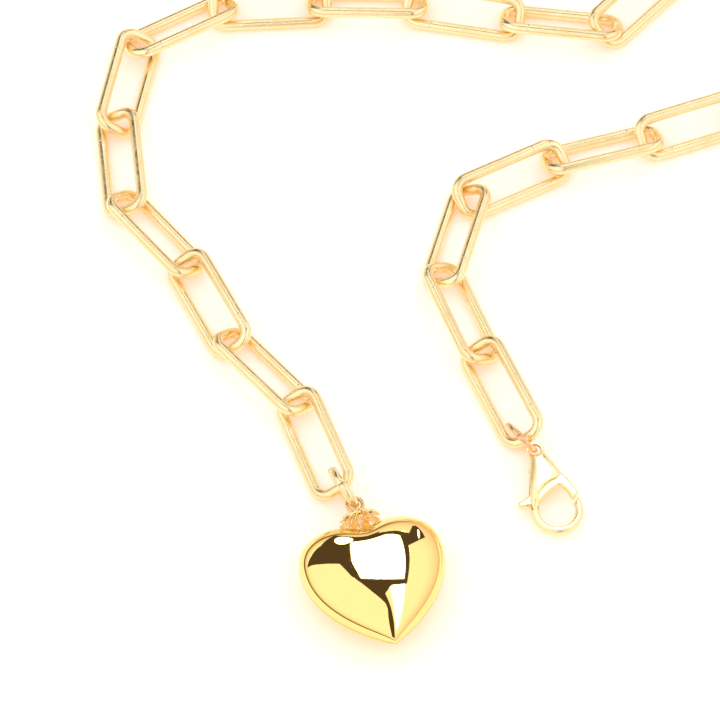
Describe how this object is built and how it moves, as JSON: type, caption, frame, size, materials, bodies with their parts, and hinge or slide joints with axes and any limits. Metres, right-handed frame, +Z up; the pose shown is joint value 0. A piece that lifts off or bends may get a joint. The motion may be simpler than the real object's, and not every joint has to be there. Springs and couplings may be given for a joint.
{
  "type": "pendant necklace",
  "caption": "Paperclip-link chain necklace lying undone in curves, with a hollow puffed heart pendant on one end and a sprung lobster clasp on the other.",
  "frame": {"origin": "on the table, under the middle of the necklace's bounding box", "axes": "+Z up from the table; the heart and the clasp point towards -Y"},
  "size_m": [0.1548, 0.1524, 0.0084],
  "materials": {
    "gold_link": "polished gold",
    "gold_heart": "mirror-polished gold",
    "gold_clasp": "polished gold",
    "spring_steel": "bright steel"
  },
  "bodies": {
    "link_01": {"chain_link_01": "gold_link"},
    "link_02": {"chain_link_02": "gold_link"},
    "link_03": {"chain_link_03": "gold_link"},
    "link_04": {"chain_link_04": "gold_link"},
    "link_05": {"chain_link_05": "gold_link"},
    "link_06": {"chain_link_06": "gold_link"},
    "link_07": {"chain_link_07": "gold_link"},
    "link_08": {"chain_link_08": "gold_link"},
    "link_09": {"chain_link_09": "gold_link"},
    "link_10": {"chain_link_10": "gold_link"},
    "link_11": {"chain_link_11": "gold_link"},
    "link_12": {"chain_link_12": "gold_link"},
    "link_13": {"chain_link_13": "gold_link"},
    "link_14": {"chain_link_14": "gold_link"},
    "link_15": {"chain_link_15": "gold_link"},
    "link_16": {"chain_link_16": "gold_link"},
    "link_17": {"chain_link_17": "gold_link"},
    "link_18": {"chain_link_18": "gold_link"},
    "link_19": {"chain_link_19": "gold_link"},
    "link_20": {"chain_link_20": "gold_link"},
    "link_21": {"chain_link_21": "gold_link"},
    "link_22": {"chain_link_22": "gold_link"},
    "link_23": {"chain_link_23": "gold_link"},
    "link_24": {"chain_link_24": "gold_link"},
    "link_25": {"chain_link_25": "gold_link"},
    "link_26": {"chain_link_26": "gold_link"},
    "link_27": {"chain_link_27": "gold_link"},
    "link_28": {"chain_link_28": "gold_link"},
    "link_29": {"chain_link_29": "gold_link"},
    "link_30": {"chain_link_30": "gold_link"},
    "pendant_ring": {"pendant_ring": "gold_link"},
    "heart": {"heart_front_shell": "gold_heart", "heart_back_shell": "gold_heart", "heart_cap": "gold_heart", "heart_eye": "gold_heart"},
    "clasp_ring": {"clasp_ring": "gold_link"},
    "clasp": {"clasp_body": "gold_clasp", "clasp_pivot_pin": "spring_steel", "clasp_spring": "spring_steel"},
    "trigger": {"clasp_trigger": "gold_clasp"}
  },
  "joints": [
    {"name": "trigger_open", "type": "hinge", "parent": "clasp", "child": "trigger", "pos_m": [-0.01262, -0.04825, 0.00198], "axis": [-0.0273, 0.0839, -0.9961], "range_deg": [0, 25], "stiffness_Nm_per_rad": 0.0001, "springref_deg": -20.05, "deforming": ["clasp_spring"]},
    {"name": "heart_lift", "type": "hinge", "parent": "pendant_ring", "child": "heart", "pos_m": [-0.03981, -0.05391, 0.0042], "axis": [-0.969, -0.247, 0], "range_deg": [0, 35]},
    {"name": "pendant_ring_swing", "type": "hinge", "parent": "link_01", "child": "pendant_ring", "pos_m": [-0.04242, -0.05028, 0.00209], "axis": [0, 0, 1], "range_deg": [-12, 30]},
    {"name": "clasp_lift", "type": "hinge", "parent": "clasp_ring", "child": "clasp", "pos_m": [-0.01454, -0.04395, 0.0024], "axis": [-0.9511, -0.309, 0], "range_deg": [0, 12]},
    {"name": "clasp_ring_swing", "type": "hinge", "parent": "link_30", "child": "clasp_ring", "pos_m": [-0.01565, -0.04167, 0.00209], "axis": [0, 0, 1], "range_deg": [-30, 12]},
    {"name": "link_15_swing", "type": "hinge", "parent": "link_16", "child": "link_15", "pos_m": [0.0359, 0.06907, 0.00209], "axis": [0, 0, 1], "range_deg": [-30, 11]},
    {"name": "link_14_swing", "type": "hinge", "parent": "link_15", "child": "link_14", "pos_m": [0.02478, 0.06038, 0.00209], "axis": [0, 0, -1], "range_deg": [-12, 30]},
    {"name": "link_13_swing", "type": "hinge", "parent": "link_14", "child": "link_13", "pos_m": [0.01545, 0.04965, 0.00209], "axis": [0, 0, 1], "range_deg": [-30, 13]},
    {"name": "link_12_swing", "type": "hinge", "parent": "link_13", "child": "link_12", "pos_m": [0.00647, 0.03856, 0.00209], "axis": [0, 0, -1], "range_deg": [-14, 30]},
    {"name": "link_11_swing", "type": "hinge", "parent": "link_12", "child": "link_11", "pos_m": [-0.00304, 0.02836, 0.00209], "axis": [0, 0, 1], "range_deg": [-5, 15]},
    {"name": "link_10_swing", "type": "hinge", "parent": "link_11", "child": "link_10", "pos_m": [-0.01689, 0.03006, 0.00209], "axis": [0, 0, -1], "range_deg": [-13, 30]},
    {"name": "link_09_swing", "type": "hinge", "parent": "link_10", "child": "link_09", "pos_m": [-0.03091, 0.03253, 0.00209], "axis": [0, 0, 1], "range_deg": [-30, 7]},
    {"name": "link_08_swing", "type": "hinge", "parent": "link_09", "child": "link_08", "pos_m": [-0.04512, 0.03278, 0.00209], "axis": [0, 0, -1], "range_deg": [-6, 30]},
    {"name": "link_07_swing", "type": "hinge", "parent": "link_08", "child": "link_07", "pos_m": [-0.05923, 0.03204, 0.00209], "axis": [0, 0, 1], "range_deg": [-30, 5]},
    {"name": "link_06_swing", "type": "hinge", "parent": "link_07", "child": "link_06", "pos_m": [-0.07134, 0.02533, 0.00209], "axis": [0, 0, -1], "range_deg": [-5, 30]},
    {"name": "link_05_swing", "type": "hinge", "parent": "link_06", "child": "link_05", "pos_m": [-0.07423, 0.01173, 0.00209], "axis": [0, 0, 1], "range_deg": [-30, 6]},
    {"name": "link_04_swing", "type": "hinge", "parent": "link_05", "child": "link_04", "pos_m": [-0.07277, -0.00218, 0.00209], "axis": [0, 0, -1], "range_deg": [-8, 30]},
    {"name": "link_03_swing", "type": "hinge", "parent": "link_04", "child": "link_03", "pos_m": [-0.06376, -0.01292, 0.00209], "axis": [0, 0, 1], "range_deg": [-30, 11]},
    {"name": "link_02_swing", "type": "hinge", "parent": "link_03", "child": "link_02", "pos_m": [-0.05734, -0.02551, 0.00209], "axis": [0, 0, -1], "range_deg": [-16, 30]},
    {"name": "link_01_swing", "type": "hinge", "parent": "link_02", "child": "link_01", "pos_m": [-0.04792, -0.03598, 0.00209], "axis": [0, 0, 1], "range_deg": [-26, 25]},
    {"name": "link_17_swing", "type": "hinge", "parent": "link_16", "child": "link_17", "pos_m": [0.04929, 0.07316, 0.00209], "axis": [0, 0, 1], "range_deg": [-9, 30]},
    {"name": "link_18_swing", "type": "hinge", "parent": "link_17", "child": "link_18", "pos_m": [0.06291, 0.07027, 0.00209], "axis": [0, 0, -1], "range_deg": [-30, 7]},
    {"name": "link_19_swing", "type": "hinge", "parent": "link_18", "child": "link_19", "pos_m": [0.07254, 0.06029, 0.00209], "axis": [0, 0, 1], "range_deg": [-6, 30]},
    {"name": "link_20_swing", "type": "hinge", "parent": "link_19", "child": "link_20", "pos_m": [0.07423, 0.04651, 0.00209], "axis": [0, 0, -1], "range_deg": [-30, 7]},
    {"name": "link_21_swing", "type": "hinge", "parent": "link_20", "child": "link_21", "pos_m": [0.06812, 0.03398, 0.00209], "axis": [0, 0, 1], "range_deg": [-8, 30]},
    {"name": "link_22_swing", "type": "hinge", "parent": "link_21", "child": "link_22", "pos_m": [0.05706, 0.02533, 0.00209], "axis": [0, 0, -1], "range_deg": [-30, 10]},
    {"name": "link_23_swing", "type": "hinge", "parent": "link_22", "child": "link_23", "pos_m": [0.04385, 0.02026, 0.00209], "axis": [0, 0, 1], "range_deg": [-15, 30]},
    {"name": "link_24_swing", "type": "hinge", "parent": "link_23", "child": "link_24", "pos_m": [0.02996, 0.01705, 0.00209], "axis": [0, 0, -1], "range_deg": [-30, 21]},
    {"name": "link_25_swing", "type": "hinge", "parent": "link_24", "child": "link_25", "pos_m": [0.01607, 0.01385, 0.00209], "axis": [0, 0, 1], "range_deg": [-30, 30]},
    {"name": "link_26_swing", "type": "hinge", "parent": "link_25", "child": "link_26", "pos_m": [0.00269, 0.00898, 0.00209], "axis": [0, 0, -1], "range_deg": [-30, 27]},
    {"name": "link_27_swing", "type": "hinge", "parent": "link_26", "child": "link_27", "pos_m": [-0.01097, 0.00506, 0.00209], "axis": [0, 0, 1], "range_deg": [-23, 30]},
    {"name": "link_28_swing", "type": "hinge", "parent": "link_27", "child": "link_28", "pos_m": [-0.0234, -0.00127, 0.00209], "axis": [0, 0, -1], "range_deg": [-10, 16]},
    {"name": "link_29_swing", "type": "hinge", "parent": "link_28", "child": "link_29", "pos_m": [-0.0272, -0.01453, 0.00209], "axis": [0, 0, 1], "range_deg": [-18, 15]},
    {"name": "link_30_swing", "type": "hinge", "parent": "link_29", "child": "link_30", "pos_m": [-0.02193, -0.02756, 0.00209], "axis": [0, 0, -1], "range_deg": [-30, 30]}
  ]
}
